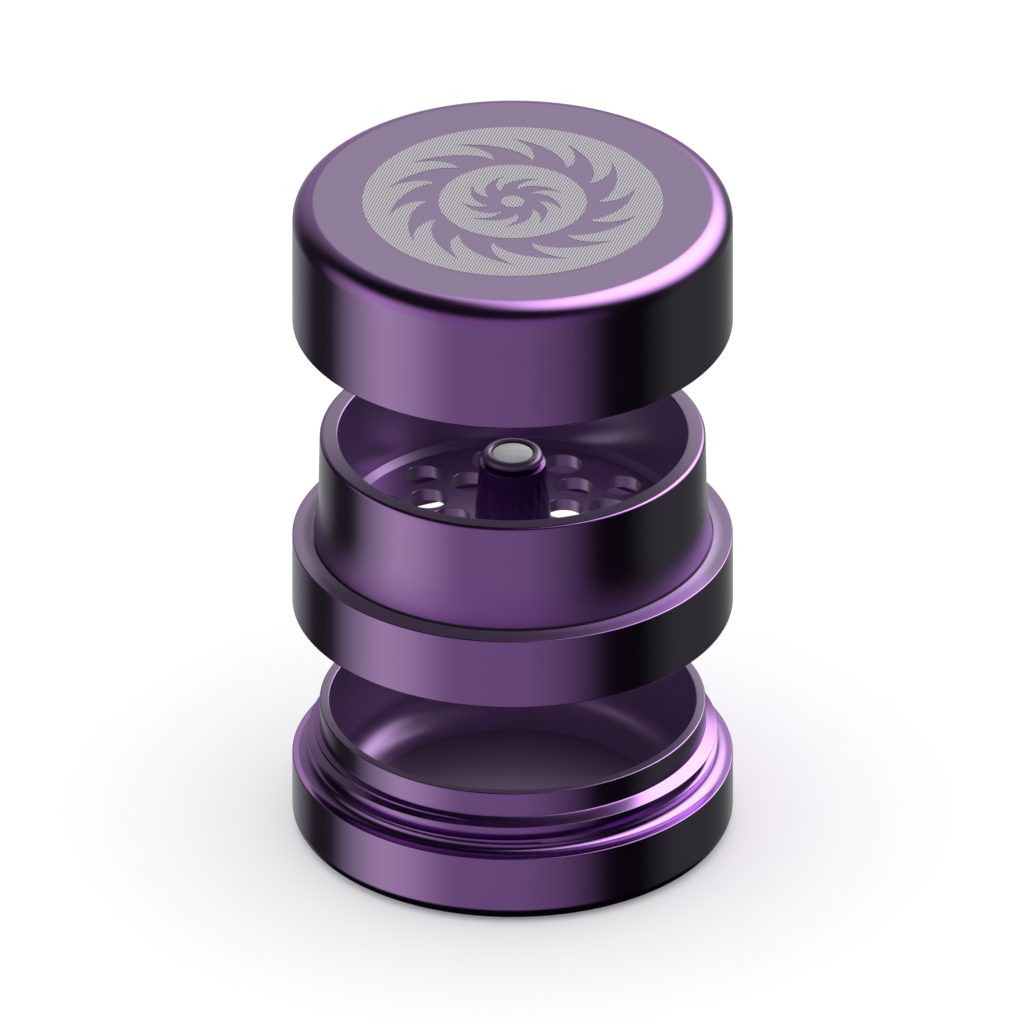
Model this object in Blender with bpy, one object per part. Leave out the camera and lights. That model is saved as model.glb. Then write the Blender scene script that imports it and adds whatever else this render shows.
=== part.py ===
"""Three-section hand grinder: lid with cutting rotor, perforated grinding chamber, threaded jar.

Every section is a body of revolution about the world Z axis. Profiles are written in
millimetres as (radius, height) pairs, closed loops that run once round the section, and
become metres when they are spun. The assembly stands pulled apart: the chamber floats
above the jar and the lid above the chamber, each on the common axis.
"""
import math

import bmesh
import bpy
from mathutils import Matrix, Vector

MM = 0.001

# Driving dimensions, in millimetres
OUTER_R = 31.5            # all three sections share one outside diameter
SEGMENTS = 64             # facets round the large turned parts
FINE_SEGMENTS = 24        # facets round the post, magnets and screws
SEAT = 0.03               # hairline left between faces that touch
EDGE = 0.15               # break on the outer edges of the jar's and the chamber's flange

# Jar
JAR_BASE_H = 10.4
JAR_ROUND = 2.25
JAR_FLOOR = 2.0
JAR_BORE_R = 26.2
JAR_BOWL_R = 5.3
NECK_R = 27.6
NECK_TOP = 19.0
CREST_R = 29.3            # outside of the male thread
THREAD_BOTTOM = 11.6
THREAD_TOP = 14.4
SHOULDER_TOP = 15.2       # where the cone above the thread meets the neck
PITCH = 2.1

# Chamber, heights counted from the bottom of its collar
COLLAR_H = 10.9
PLATE_UNDER = 9.7
FLOOR = 11.6
CUP_TOP = 27.3
COLLAR_BORE_R = 29.6
CUP_OUTER_R = 27.6
CUP_INNER_R = 25.0
FLARE_R = 50.0            # curve of the cup wall's flared foot, its height and its top radius
FLARE_TOP = 20.0
FLARE_TOP_R = 27.72
SCREW_HOLE_R = 1.7
CUP_RIM = (0.4, 0.25)      # breaks on the rim's outer and inner edge
FLOOR_R = 23.95           # flat of the cup floor, inside the fillet
FLOOR_FILLET = 0.2
FLOOR_CONE = 45.0         # lean of the cone between that fillet and the cup wall, degrees
CONE_TOP = 12.57
GLIDE_GROOVE = (27.6, 28.6, 10.9, 11.35)   # inner and outer radius, low and high edge
FOOT_R = 28.48            # cup wall just above that groove
DISH_R = 6.6              # hollow that lifts the flange's inner edge beside the groove
DISH_W = 1.6
DISH_TILT = math.degrees(math.asin(DISH_W / DISH_R))
HOLE_R = 2.75
HOLE_RINGS = ((20.0, 12, 39.0), (14.9, 12, 24.0), (9.4, 6, 39.0))   # radius, count, first angle

# Post and magnets
POST_BASE_R = 5.6
POST_SHOULDER_R = 4.8
POST_SHOULDER = 11.1
POST_H = 12.8
BEAD_R = 0.82             # section of the round lip on top of the post
BEAD_CENTRE_R = 3.54
MAGNET_R = 2.95
MAGNET_H = 2.0
POCKET_R = 3.05

# Lid, heights counted from the bottom of its skirt
LID_H = 19.4
LID_ROUND = 3.1
SKIRT_BORE_R = 28.75
CEILING = 16.8
ROTOR_R = 23.4
ROTOR_DISC = 2.8
VANE_INNER_R = 6.3
VANE_BOTTOM = 1.0
VANE_TOP_W = 3.4
VANE_EDGE_W = 1.6
VANES = 4
ROTOR_SCREW_R = 15.0      # radius of the circle the rotor screws stand on

# Where each section stands, pulled apart
CHAMBER_Z = 35.3
LID_Z = 81.3

COLOURS = {
    "anodised_purple": ((0.142, 0.062, 0.190, 1.0), 0.34, 1.0),
    "nickel_plate": ((0.42, 0.43, 0.41, 1.0), 0.38, 1.0),
    "screw_steel": ((0.36, 0.36, 0.37, 1.0), 0.30, 1.0),
    "glide_polymer": ((0.012, 0.010, 0.014, 1.0), 0.45, 0.0),
    "seal_silicone": ((0.030, 0.028, 0.034, 1.0), 0.60, 0.0),
}


def clear_scene():
    for obj in list(bpy.data.objects):
        bpy.data.objects.remove(obj, do_unlink=True)


def material(name):
    """A Principled BSDF finish shared by the parts of one metal or polymer."""
    found = bpy.data.materials.get(name)
    if found:
        return found
    colour, roughness, metallic = COLOURS[name]
    made = bpy.data.materials.new(name)
    made.use_nodes = True
    shader = made.node_tree.nodes["Principled BSDF"]
    shader.inputs["Base Color"].default_value = colour
    shader.inputs["Roughness"].default_value = roughness
    shader.inputs["Metallic"].default_value = metallic
    made.diffuse_color = colour
    return made


def arc(centre_r, centre_z, radius, start, end, steps):
    """Points of a round stretch of profile, both ends included, angles in degrees."""
    points = []
    for step in range(steps + 1):
        angle = math.radians(start + (end - start) * step / steps)
        points.append((centre_r + radius * math.cos(angle), centre_z + radius * math.sin(angle)))
    return points


def spun(profile, segments):
    """A bmesh, in metres, of a closed profile turned once about Z."""
    bm = bmesh.new()
    ring = [bm.verts.new((r * MM, 0.0, z * MM)) for r, z in profile]
    for index, vert in enumerate(ring):
        following = ring[(index + 1) % len(ring)]
        on_axis = vert.co.x < 1e-9 and following.co.x < 1e-9
        if not on_axis:
            bm.edges.new((vert, following))
    bmesh.ops.spin(bm, geom=bm.verts[:] + bm.edges[:], cent=(0, 0, 0), axis=(0, 0, 1),
                   angle=2 * math.pi, steps=segments, use_merge=True)
    bmesh.ops.remove_doubles(bm, verts=bm.verts[:], dist=1e-7)
    bmesh.ops.recalc_face_normals(bm, faces=bm.faces[:])
    return bm


def add_object(name, bm, height=0.0, finish=None, parent=None):
    """Put a bmesh in the scene at a height on the axis, in millimetres."""
    mesh = bpy.data.meshes.new(name)
    bm.to_mesh(mesh)
    bm.free()
    obj = bpy.data.objects.new(name, mesh)
    bpy.context.scene.collection.objects.link(obj)
    obj.location = (0.0, 0.0, height * MM)
    if finish:
        mesh.materials.append(material(finish))
    if parent:
        obj.parent = parent
    return obj


def axis_empty(name, height):
    """An empty on the common axis that carries one section."""
    empty = bpy.data.objects.new(name, None)
    empty.empty_display_size = 0.01
    empty.location = (0.0, 0.0, height * MM)
    bpy.context.scene.collection.objects.link(empty)
    return empty


def cutter(name, bm, parent):
    """A tool body that a Boolean takes away from or adds to its parent."""
    tool = add_object(name, bm, 0.0, None, parent)
    tool.display_type = "WIRE"
    tool.hide_render = True
    return tool


def boolean(obj, tool, operation):
    """Apply one Boolean at once and drop the tool body."""
    change = obj.modifiers.new(tool.name, "BOOLEAN")
    change.operation = operation
    change.solver = "EXACT"
    change.object = tool
    bpy.context.view_layer.update()
    graph = bpy.context.evaluated_depsgraph_get()
    result = bpy.data.meshes.new_from_object(obj.evaluated_get(graph))
    finish = obj.data.materials[0]
    obj.modifiers.remove(change)
    obj.data = result
    result.name = obj.name
    result.materials.clear()
    result.materials.append(finish)
    for polygon in result.polygons:
        polygon.material_index = 0
    bpy.data.objects.remove(tool, do_unlink=True)
    tidy_mesh(result)


def tidy_mesh(mesh):
    """Merge the slivers a Boolean leaves and triangulate, so the solid stays closed."""
    bm = bmesh.new()
    bm.from_mesh(mesh)
    bmesh.ops.remove_doubles(bm, verts=bm.verts[:], dist=2e-6)
    bmesh.ops.dissolve_degenerate(bm, dist=1e-6, edges=bm.edges[:])
    bmesh.ops.triangulate(bm, faces=bm.faces[:])
    bm.to_mesh(mesh)
    bm.free()


def helix_bar(outer_r, inner_r, half_width, start_z, turns, start_angle):
    """A wedge-shaped bar wound as a right-hand helix, thinning to a point at both ends.

    It is widest at outer_r and narrows to inner_r; outer_r may be the smaller radius,
    and the bar then points outwards instead.
    """
    bm = bmesh.new()
    steps = int(round(turns * SEGMENTS))
    fade = SEGMENTS // 8
    rings = []
    for step in range(steps + 1):
        angle = math.radians(start_angle) + 2 * math.pi * step / SEGMENTS
        height = start_z + PITCH * step / SEGMENTS
        depth = min(1.0, (step + 0.4) / fade, (steps - step + 0.4) / fade)
        tip_r = outer_r + (inner_r - outer_r) * depth
        section = ((outer_r, -half_width), (outer_r, half_width),
                   (tip_r, half_width * 0.35), (tip_r, -half_width * 0.35))
        ring = []
        for r, dz in section:
            ring.append(bm.verts.new((r * MM * math.cos(angle), r * MM * math.sin(angle),
                                      (height + dz) * MM)))
        rings.append(ring)
    for low, high in zip(rings, rings[1:]):
        for side in range(4):
            after = (side + 1) % 4
            bm.faces.new((low[side], low[after], high[after], high[side]))
    bm.faces.new(rings[0][::-1])
    bm.faces.new(rings[-1])
    bmesh.ops.recalc_face_normals(bm, faces=bm.faces[:])
    return bm


def hollow(centre_r, centre_z, across, tall, steps):
    """Quarter of an ellipse that hollows the corner between a flange and a wall inside it."""
    points = []
    for step in range(steps + 1):
        angle = math.radians(90 - 90 * step / steps)
        points.append((centre_r - across * math.cos(angle), centre_z - tall * math.sin(angle)))
    return points


def jar():
    """Storage jar: rounded base, threaded neck, bowl-shaped inside."""
    profile = [(0.0, 0.0)]
    profile += arc(OUTER_R - JAR_ROUND, JAR_ROUND, JAR_ROUND, -90, 0, 4)
    profile += [(OUTER_R, JAR_BASE_H - EDGE), (OUTER_R - EDGE, JAR_BASE_H)]
    profile += hollow(30.7, THREAD_BOTTOM - 0.2, 1.6, 1.0, 3)
    profile += [(CREST_R, THREAD_BOTTOM), (CREST_R, THREAD_TOP), (NECK_R, SHOULDER_TOP)]
    profile += [(NECK_R, NECK_TOP - 0.25), (NECK_R - 0.25, NECK_TOP),
                (JAR_BORE_R + 0.25, NECK_TOP), (JAR_BORE_R, NECK_TOP - 0.25)]
    profile += arc(JAR_BORE_R - JAR_BOWL_R, JAR_FLOOR + JAR_BOWL_R, JAR_BOWL_R, 0, -90, 5)
    profile += [(0.0, JAR_FLOOR)]
    obj = add_object("jar", spun(profile, SEGMENTS), 0.0, "anodised_purple")
    groove = helix_bar(CREST_R + 0.6, CREST_R - 1.0, 1.0, THREAD_BOTTOM + 0.4, 1.57, 90)
    boolean(obj, cutter("jar_thread_tool", groove, obj), "DIFFERENCE")
    return obj


def chamber_profile():
    groove_in, groove_out, groove_low, groove_high = GLIDE_GROOVE
    profile = [(SCREW_HOLE_R, PLATE_UNDER), (COLLAR_BORE_R, PLATE_UNDER),
               (COLLAR_BORE_R, 0.4), (COLLAR_BORE_R + 0.4, 0.0),
               (OUTER_R - 0.25, 0.0), (OUTER_R, 0.25),
               (OUTER_R, COLLAR_H - EDGE), (OUTER_R - EDGE, COLLAR_H)]
    profile += arc(groove_out + DISH_W, COLLAR_H + DISH_R, DISH_R, 270, 270 - DISH_TILT, 2)
    profile += [(groove_out, groove_low),
                (groove_in, groove_low), (groove_in, groove_high),
                (FOOT_R - 0.1, groove_high), (FOOT_R, groove_high + 0.1)]
    profile += arc(FLARE_TOP_R + FLARE_R, FLARE_TOP, FLARE_R, 190.0, 180, 3)[1:]
    outer_break, inner_break = CUP_RIM
    profile += [(CUP_OUTER_R, CUP_TOP - outer_break), (CUP_OUTER_R - outer_break, CUP_TOP),
                (CUP_INNER_R + inner_break, CUP_TOP), (CUP_INNER_R, CUP_TOP - inner_break),
                (CUP_INNER_R, CONE_TOP)]
    profile += arc(FLOOR_R, FLOOR + FLOOR_FILLET, FLOOR_FILLET, -FLOOR_CONE, -90, 2)
    profile += [(SCREW_HOLE_R, FLOOR)]
    return profile


def hole_tools():
    """All the round cutters of the perforated floor in one bmesh."""
    bm = bmesh.new()
    for radius, count, first in HOLE_RINGS:
        for index in range(count):
            angle = math.radians(first + 360.0 * index / count)
            place = Vector((math.cos(angle), math.sin(angle), 0.0)) * radius * MM
            place.z = (PLATE_UNDER + FLOOR) / 2 * MM
            bmesh.ops.create_cone(bm, cap_ends=True, segments=20, radius1=HOLE_R * MM,
                                  radius2=HOLE_R * MM, depth=4 * MM,
                                  matrix=Matrix.Translation(place))
    return bm


def grinding_chamber(parent):
    """Cup with a perforated floor, carried by a collar that is threaded inside."""
    obj = add_object("grinding_chamber", spun(chamber_profile(), SEGMENTS), 0.0,
                     "anodised_purple", parent)
    boolean(obj, cutter("hole_tool", hole_tools(), obj), "DIFFERENCE")
    groove = helix_bar(COLLAR_BORE_R - 0.6, COLLAR_BORE_R + 0.6, 0.62, 1.6, 1.6, 0)
    boolean(obj, cutter("collar_thread_tool", groove, obj), "DIFFERENCE")
    return obj


def centre_post(parent):
    """Tapered post with a round bead for a lip, which its magnet is sunk in."""
    pocket = POST_H - 0.3 - MAGNET_H - 0.1
    inside = math.degrees(math.acos((POCKET_R - BEAD_CENTRE_R) / BEAD_R))
    profile = [(0.0, 6.0), (1.3, 6.0), (1.3, 0.0), (POST_BASE_R - 0.15, 0.0), (POST_BASE_R, 0.15)]
    profile += arc(POST_SHOULDER_R - 0.2, POST_SHOULDER - 0.2, 0.2, 5, 90, 2)
    profile += arc(BEAD_CENTRE_R, POST_H - BEAD_R, BEAD_R, -60, inside, 7)
    profile += [(POCKET_R, pocket), (0.0, pocket)]
    return add_object("centre_post", spun(profile, FINE_SEGMENTS), FLOOR + SEAT,
                      "anodised_purple", parent)


def disc(name, radius, thickness, height, finish, parent):
    """A short cylinder with broken edges, such as a magnet."""
    edge = 0.15
    profile = [(0.0, 0.0), (radius - edge, 0.0), (radius, edge), (radius, thickness - edge),
               (radius - edge, thickness), (0.0, thickness)]
    return add_object(name, spun(profile, FINE_SEGMENTS), height, finish, parent)


def hex_recess(across, depth, face_z):
    """Cutter for a hexagon socket that opens downwards at face_z."""
    bm = bmesh.new()
    bmesh.ops.create_cone(bm, cap_ends=True, segments=6, radius1=across * MM, radius2=across * MM,
                          depth=2 * depth * MM, matrix=Matrix.Translation((0, 0, face_z * MM)))
    return bm


def post_screw(parent):
    """Button-head screw that holds the post from under the floor."""
    head = 1.6
    profile = [(0.0, 0.0), (2.1, 0.0), (2.7, 0.35), (2.9, 0.9), (2.9, head), (1.2, head),
               (1.2, head + 6.9), (0.9, head + 7.2), (0.0, head + 7.2)]
    obj = add_object("post_screw", spun(profile, FINE_SEGMENTS), PLATE_UNDER - SEAT - head,
                     "screw_steel", parent)
    boolean(obj, cutter("post_screw_tool", hex_recess(1.1, 1.0, 0.0), obj), "DIFFERENCE")
    return obj


def ring(name, inner_r, outer_r, low, high, edge, finish, parent):
    """A flat ring with broken outer edges."""
    profile = [(inner_r, low), (outer_r - edge, low), (outer_r, low + edge),
               (outer_r, high - edge), (outer_r - edge, high), (inner_r, high)]
    return add_object(name, spun(profile, SEGMENTS), 0.0, finish, parent)


def lid_shell(parent):
    """Plain round lid: flat top, large top radius, hollow below."""
    profile = [(0.0, CEILING), (0.0, LID_H)]
    profile += arc(OUTER_R - LID_ROUND, LID_H - LID_ROUND, LID_ROUND, 90, 0, 6)
    profile += [(OUTER_R, 0.2), (OUTER_R - 0.2, 0.0), (SKIRT_BORE_R + 0.4, 0.0),
                (SKIRT_BORE_R, 0.4), (SKIRT_BORE_R, CEILING - 0.8),
                (SKIRT_BORE_R - 0.8, CEILING)]
    obj = add_object("lid_shell", spun(profile, SEGMENTS), 0.0, "anodised_purple", parent)
    holes = bmesh.new()
    for place in rotor_screw_places():
        bmesh.ops.create_cone(holes, cap_ends=True, segments=16, radius1=1.3 * MM,
                              radius2=1.3 * MM, depth=3.4 * MM,
                              matrix=Matrix.Translation(place + Vector((0, 0, CEILING * MM))))
    boolean(obj, cutter("lid_tap_tool", holes, obj), "DIFFERENCE")
    return obj


def rotor_screw_places():
    """Centres of the rotor screws, between the vanes, at height zero."""
    places = []
    for index in range(VANES):
        angle = 2 * math.pi * index / VANES
        places.append(Vector((math.cos(angle), math.sin(angle), 0.0)) * ROTOR_SCREW_R * MM)
    return places


def vane_tools(top):
    """Radial blades, wide at the root and narrow at the cutting edge."""
    bm = bmesh.new()
    for index in range(VANES):
        turn = Matrix.Rotation(2 * math.pi * (index + 0.5) / VANES, 3, "Z")
        plan = ((VANE_INNER_R, -1), (ROTOR_R - 0.4, -1), (ROTOR_R - 0.4, 1), (VANE_INNER_R, 1))
        corners = []
        for z, width in ((VANE_BOTTOM, VANE_EDGE_W), (top, VANE_TOP_W)):
            for r, side in plan:
                corners.append(bm.verts.new(turn @ Vector((r, side * width / 2, z)) * MM))
        bm.faces.new(corners[3::-1])
        bm.faces.new(corners[4:])
        for side in range(4):
            after = (side + 1) % 4
            bm.faces.new((corners[side], corners[after], corners[4 + after], corners[4 + side]))
    bmesh.ops.recalc_face_normals(bm, faces=bm.faces[:])
    return bm


def countersunk(head_r, shank_r, head_h, length):
    """Profile of a countersunk screw, its head face down at height zero."""
    return [(0.0, 0.0), (head_r, 0.0), (head_r, 0.2), (shank_r, head_h), (shank_r, length), (0.0, length)]


def lid_rotor(parent):
    """Cutting rotor: a disc under the lid's ceiling with four downward blades."""
    under = CEILING - SEAT - ROTOR_DISC
    top = CEILING - SEAT
    pocket = under + MAGNET_H + 0.15
    profile = [(0.0, pocket), (0.0, top), (ROTOR_R - 0.3, top), (ROTOR_R, top - 0.3),
               (ROTOR_R, under + 0.3), (ROTOR_R - 0.3, under), (POCKET_R, under), (POCKET_R, pocket)]
    obj = add_object("lid_rotor", spun(profile, SEGMENTS), 0.0, "anodised_purple", parent)
    boolean(obj, cutter("vane_tool", vane_tools(under + 0.8), obj), "UNION")
    sinks = bmesh.new()
    for place in rotor_screw_places():
        single = spun(countersunk(2.35, 1.45, 1.25, ROTOR_DISC + 1.0), 16)
        scratch = bpy.data.meshes.new("sink")
        single.transform(Matrix.Translation(place + Vector((0, 0, (under - 0.01) * MM))))
        single.to_mesh(scratch)
        single.free()
        sinks.from_mesh(scratch)
        bpy.data.meshes.remove(scratch)
    boolean(obj, cutter("sink_tool", sinks, obj), "DIFFERENCE")
    return obj


def rotor_screw(number, place, parent):
    """Countersunk screw that holds the rotor to the lid."""
    under = CEILING - SEAT - ROTOR_DISC
    obj = add_object(f"rotor_screw_{number}", spun(countersunk(2.2, 1.15, 1.15, 4.2), 16), 0.0,
                     "screw_steel", parent)
    obj.location = place + Vector((0, 0, (under + 0.08) * MM))
    boolean(obj, cutter(f"rotor_screw_tool_{number}", hex_recess(0.85, 0.8, 0.0), obj), "DIFFERENCE")
    return obj


def build():
    clear_scene()
    jar()
    chamber = axis_empty("chamber_axis", CHAMBER_Z)
    lid = axis_empty("lid_axis", LID_Z)
    groove_in, groove_out, groove_low, groove_high = GLIDE_GROOVE
    ring("chamber_seal", JAR_BORE_R - 0.6, COLLAR_BORE_R - 0.1, PLATE_UNDER - SEAT - 0.95,
         PLATE_UNDER - SEAT, 0.2, "seal_silicone", chamber)
    grinding_chamber(chamber)
    centre_post(chamber)
    post_screw(chamber)
    disc("post_magnet", MAGNET_R, MAGNET_H, FLOOR + POST_H - 0.3 - MAGNET_H, "nickel_plate", chamber)
    ring("glide_ring", groove_in + 0.1, FOOT_R - 0.06, groove_low + 0.05, groove_high - 0.05,
         0.05, "glide_polymer", chamber)
    lid_shell(lid)
    lid_rotor(lid)
    for number, place in enumerate(rotor_screw_places(), start=1):
        rotor_screw(number, place, lid)
    disc("rotor_magnet", MAGNET_R, MAGNET_H, CEILING - SEAT - ROTOR_DISC + 0.05, "nickel_plate", lid)


build()
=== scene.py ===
"""Looks of the three-section hand grinder: turned, anodised sections, pulled apart.

Heights and outer radii of the pieces come from the frame's boxes. The sizes inside them are
named below in millimetres and repeat the design's values, except where the looks needed a
softer edge.
"""
import math

import bmesh
import bpy
from mathutils import Matrix, Vector


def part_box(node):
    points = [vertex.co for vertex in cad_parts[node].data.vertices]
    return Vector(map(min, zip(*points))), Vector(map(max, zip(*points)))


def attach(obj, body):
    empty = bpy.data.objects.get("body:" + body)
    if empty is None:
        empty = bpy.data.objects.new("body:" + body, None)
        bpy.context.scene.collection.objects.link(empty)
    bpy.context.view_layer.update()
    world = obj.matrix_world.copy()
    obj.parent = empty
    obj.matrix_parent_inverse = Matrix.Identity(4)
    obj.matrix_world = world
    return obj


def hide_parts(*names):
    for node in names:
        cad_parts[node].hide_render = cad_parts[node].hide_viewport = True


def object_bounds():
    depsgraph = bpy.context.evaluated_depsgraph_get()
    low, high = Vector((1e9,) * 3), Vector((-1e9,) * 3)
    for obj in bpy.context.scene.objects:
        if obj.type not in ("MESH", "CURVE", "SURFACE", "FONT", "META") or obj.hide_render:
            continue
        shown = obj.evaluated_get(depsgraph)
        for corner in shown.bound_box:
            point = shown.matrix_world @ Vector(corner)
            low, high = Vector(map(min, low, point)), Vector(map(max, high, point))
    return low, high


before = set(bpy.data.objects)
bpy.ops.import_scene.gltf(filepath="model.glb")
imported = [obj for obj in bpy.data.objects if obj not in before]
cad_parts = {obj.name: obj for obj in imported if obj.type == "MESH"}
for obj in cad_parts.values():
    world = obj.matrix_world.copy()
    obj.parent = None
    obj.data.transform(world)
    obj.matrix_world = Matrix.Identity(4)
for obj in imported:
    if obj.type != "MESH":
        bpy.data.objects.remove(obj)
CAD_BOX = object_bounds()

MM = 0.001
TURNS = 256        # facets round the large turned parts
SMALL_TURNS = 96   # facets round the post, the magnets and its screw
SCREW_TURNS = 48                    # facets round the rotor screws
SHARP = math.radians(32)            # edges sharper than this stay crisp

# Sizes that the frame's boxes don't hold, in millimetres and degrees. Heights are above
# the bottom of the piece that they belong to.
EDGE = 0.15              # round on the outer edges of the jar's and the chamber's flange

JAR_BASE_H = 10.4
JAR_ROUND = 2.25         # round between the jar's side and its underside
JAR_FLOOR = 2.0
JAR_BORE_R = 26.2
JAR_BOWL_R = 5.3         # fillet between the jar's floor and its bore
NECK_R = 27.6
NECK_RIM = 0.2
CREST_R = 29.3           # outside of the male thread
THREAD_BOTTOM = 11.6
THREAD_TOP = 14.4
SHOULDER_TOP = 15.2      # where the cone above the thread meets the neck
HOLLOW_R = 30.7          # elliptical hollow between the jar's flange and its thread
HOLLOW_ACROSS = 1.6
HOLLOW_TALL = 1.0
CREST_EDGE_LOW, CREST_EDGE_HIGH = 0.08, 0.1
PITCH = 2.1
THREAD_TURNS = 1.57      # jar thread: turns, first angle, lead-in height, depth, half-width
THREAD_FIRST = 90.0
THREAD_START = 0.4
THREAD_DEPTH = 1.0
THREAD_HALF = 1.0
NUT_TURNS = 1.6          # collar thread: turns, first angle, height, depth, half-width
NUT_FIRST = 0.0
NUT_START = 1.6
NUT_DEPTH = 0.6
NUT_HALF = 0.62
BEYOND = 0.6             # how far a thread cutter reaches out of the metal

FLOOR = 11.6             # top of the cup's floor
PLATE_UNDER = 9.7        # underside of the cup's floor
COLLAR_H = 10.9
COLLAR_BORE_R = 29.6
COLLAR_EDGE = 0.25
MOUTH_BREAK = 0.4        # chamfer at the mouth of the collar and of the lid's skirt
CUP_OUTER_R = 27.6
CUP_INNER_R = 25.0
RIM_OUTER, RIM_INNER = 0.55, 0.25
FLOOR_R = 23.95          # flat of the cup floor, inside the fillet
FLOOR_FILLET = 0.2
FLOOR_CONE = 45.0        # lean of the cone between that fillet and the cup wall
CONE_TOP = 12.57
FLARE_R = 50.0           # curve of the cup wall's flared foot, its height and its top radius
FLARE_TOP = 20.0
FLARE_TOP_R = 27.72
FOOT_R = 28.48           # cup wall just above the glide ring's groove
FOOT_EDGE = 0.1
GROOVE_IN, GROOVE_OUT, GROOVE_LOW, GROOVE_HIGH = 27.6, 28.6, 10.9, 11.35
DISH_R = 6.6             # hollow that lifts the flange's inner edge beside the groove
DISH_W = 1.6
LIP = 0.12               # round on the lip between the dish and the groove
SCREW_HOLE_R = 1.7
HOLE_R = 2.75
HOLE_RIM = 0.05
HOLE_RINGS = ((20.0, 12, 39.0), (14.9, 12, 24.0), (9.4, 6, 39.0))   # radius, count, first angle

POST_SHOULDER_R = 4.8
POST_SHOULDER = 11.1
POST_TAP_R = 1.3         # hole for the screw in the post's foot
POST_TAP_H = 6.0
POST_FOOT_EDGE, POST_SHOULDER_EDGE = 0.15, 0.2
BEAD_R = 0.82            # section of the round lip on top of the post
BEAD_CENTRE_R = 3.54
POCKET_R = 3.05          # magnet pockets in the post and the rotor
POST_POCKET = 2.4        # depth of the post's pocket
ROTOR_POCKET = 2.15
DISC_EDGE = 0.15
POST_SCREW_HEAD_H = 1.6
POST_SCREW_DOME = 0.95
POST_SCREW_SHANK_R = 1.2
POST_SCREW_TIP = 0.3
POST_SCREW_HEX_R = 1.1

LID_ROUND = 3.1
LID_EDGE = 0.2
SKIRT_BORE_R = 28.75
CEILING = 16.8
CEILING_FILLET = 0.8
ROTOR_DISC = 2.8
ROTOR_EDGE = 0.3
VANES = 4
VANE_INNER_R = 6.3
VANE_EDGE_W, VANE_ROOT_W = 1.6, 3.4
VANE_BREAK = 0.2
VANE_ROOT = 0.8          # how far the blades' roots reach into the disc
ROTOR_SCREW_R = 15.0     # radius of the circle that the rotor screws stand on
ROTOR_SCREW_HEAD_R = 2.2
ROTOR_SCREW_SHANK_R = 1.15
ROTOR_SCREW_HEX_R = 0.85
LID_TAP_R = 1.3
LID_TAP_DEPTH = 1.7

# Slots of the finishes on the jar, the chamber, the lid and the post
BLAST_SLOT, INNER_SLOT, WALL_SLOT = 1, 2, 3


# ---------------------------------------------------------------- frame helpers

def span(node):
    """Lowest and highest height, and the radius, of a CAD node, in millimetres."""
    low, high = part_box(node)
    return low[2] / MM, high[2] / MM, (high[0] - low[0]) / 2 / MM


# ---------------------------------------------------------------- node helpers

class Tree:
    """Short spellings for building a material's or the world's nodes."""

    def __init__(self, tree):
        self.tree = tree
        self.nodes = tree.nodes
        self.links = tree.links

    def add(self, kind, **settings):
        node = self.nodes.new(kind)
        for name, value in settings.items():
            setattr(node, name, value)
        return node

    def join(self, output, socket):
        self.links.new(output, socket)

    def feed(self, socket, value):
        """Link a socket, or set it when the value is plain."""
        if isinstance(value, bpy.types.NodeSocket):
            self.join(value, socket)
        else:
            socket.default_value = value

    def math(self, operation, a, b=0.0):
        node = self.add("ShaderNodeMath", operation=operation)
        self.feed(node.inputs[0], a)
        self.feed(node.inputs[1], b)
        return node.outputs[0]

    def ramp(self, factor, stops):
        """A colour ramp; stops are (position, grey or colour)."""
        node = self.add("ShaderNodeValToRGB")
        ramp = node.color_ramp
        while len(ramp.elements) < len(stops):
            ramp.elements.new(0.5)
        for element, (position, colour) in zip(ramp.elements, stops):
            element.position = position
            channels = colour if isinstance(colour, tuple) else (colour,) * 3
            element.color = channels + (1.0,)
        self.feed(node.inputs[0], factor)
        return node.outputs[0]

    def smooth(self, value, low, high, out_low=0.0, out_high=1.0):
        """Smooth step from out_low at low to out_high at high."""
        node = self.add("ShaderNodeMapRange", interpolation_type="SMOOTHSTEP", clamp=True)
        self.feed(node.inputs["Value"], value)
        for name, number in (("From Min", low), ("From Max", high),
                             ("To Min", out_low), ("To Max", out_high)):
            node.inputs[name].default_value = number
        return node.outputs[0]

    def mix(self, factor, a, b, blend="MIX"):
        """Mix, add or multiply two colours; inputs 6 and 7 and output 2 are the colour ones."""
        node = self.add("ShaderNodeMix", data_type="RGBA", blend_type=blend)
        self.feed(node.inputs["Factor"], factor)
        self.feed(node.inputs[6], a)
        self.feed(node.inputs[7], b)
        return node.outputs[2]


def new_material(name):
    made = bpy.data.materials.new(name)
    made.use_nodes = True
    return made, Tree(made.node_tree), made.node_tree.nodes["Principled BSDF"]


def object_place(tree):
    return tree.add("ShaderNodeTexCoord").outputs["Object"]


def noise(tree, vector, scale, detail=2.0, roughness=0.5):
    node = tree.add("ShaderNodeTexNoise")
    node.inputs["Scale"].default_value = scale
    node.inputs["Detail"].default_value = detail
    node.inputs["Roughness"].default_value = roughness
    tree.join(vector, node.inputs["Vector"])
    return node.outputs["Fac"]


def bump(tree, shader, height, distance):
    node = tree.add("ShaderNodeBump")
    node.inputs["Strength"].default_value = 1.0
    node.inputs["Distance"].default_value = distance
    tree.join(height, node.inputs["Height"])
    tree.join(node.outputs["Normal"], shader.inputs["Normal"])


def scaled(colour, share):
    """A colour with its channels multiplied by a share."""
    return tuple(channel * share for channel in colour[:3]) + (1.0,)


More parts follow.
